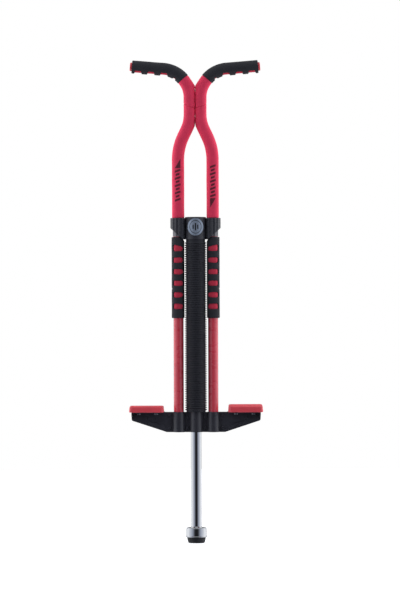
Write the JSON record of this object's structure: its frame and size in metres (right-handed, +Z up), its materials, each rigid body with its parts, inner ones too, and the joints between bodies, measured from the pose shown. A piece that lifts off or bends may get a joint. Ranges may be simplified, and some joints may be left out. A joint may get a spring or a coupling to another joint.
{
  "type": "pogo stick",
  "caption": "Spring pogo stick with two bent steel tubes, foam handlebar grips and knee pads, a ribbed spring cover, foot pads on a pressed bracket, and a chromed plunger with a rubber tip.",
  "frame": {"origin": "centre of the rubber tip's lower face, on the stick's axis", "axes": "+Z up the plunger, X along the foot rests and handlebars, -Y towards the front, where the badge is"},
  "size_m": [0.282, 0.062, 1.0181],
  "materials": {
    "painted_tube": "gloss red paint",
    "weld": "painted weld",
    "red_plastic": "moulded red plastic, satin",
    "red_foam": "closed-cell foam, matt red",
    "black_foam": "closed-cell foam, matt black",
    "black_plastic": "moulded black plastic, satin",
    "badge_metal": "anodised blue-grey, printed",
    "black_steel": "black powder coat",
    "screws": "blackened steel",
    "nylon": "natural nylon",
    "steel": "plain steel",
    "chrome": "polished chrome",
    "rubber": "black rubber"
  },
  "bodies": {
    "frame": {"left_frame_tube": "painted_tube", "right_frame_tube": "painted_tube", "neck_weld": "weld", "left_handle_plug": "red_plastic", "right_handle_plug": "red_plastic", "left_foot_pad": "red_plastic", "right_foot_pad": "red_plastic", "left_neck_foam": "red_foam", "right_neck_foam": "red_foam", "left_shaft_foam": "red_foam", "right_shaft_foam": "red_foam", "left_grip_liner": "red_foam", "right_grip_liner": "red_foam", "left_knee_liner": "red_foam", "right_knee_liner": "red_foam", "left_grip": "black_foam", "right_grip": "black_foam", "left_knee_pad": "black_foam", "right_knee_pad": "black_foam", "collar_front": "black_plastic", "collar_rear": "black_plastic", "spring_cover": "black_plastic", "badge": "badge_metal", "bracket_front_plate": "black_steel", "bracket_rear_plate": "black_steel", "bracket_rivets": "black_steel", "collar_screws": "screws", "foot_pad_screws": "screws", "guide_bush_lower": "nylon", "guide_bush_upper": "nylon", "main_spring": "steel", "upper_spring_seat": "steel", "rebound_bumper": "rubber"},
    "spring_seat": {"lower_spring_seat": "steel"},
    "plunger": {"plunger_tube": "chrome", "plunger_top_plug": "nylon", "stop_pin": "steel", "tip_cup": "chrome", "rubber_tip": "rubber"}
  },
  "joints": [
    {"name": "plunger_slide", "type": "slide", "parent": "frame", "child": "spring_seat", "axis": [0, 0, 1], "range_m": [0, 0.11], "stiffness_N_per_m": 5400, "springref_m": -0.02, "deforming": ["main_spring"]},
    {"name": "plunger_turn", "type": "hinge", "parent": "spring_seat", "child": "plunger", "pos_m": [0, 0, 0.3], "axis": [0, 0, 1], "continuous": true}
  ]
}
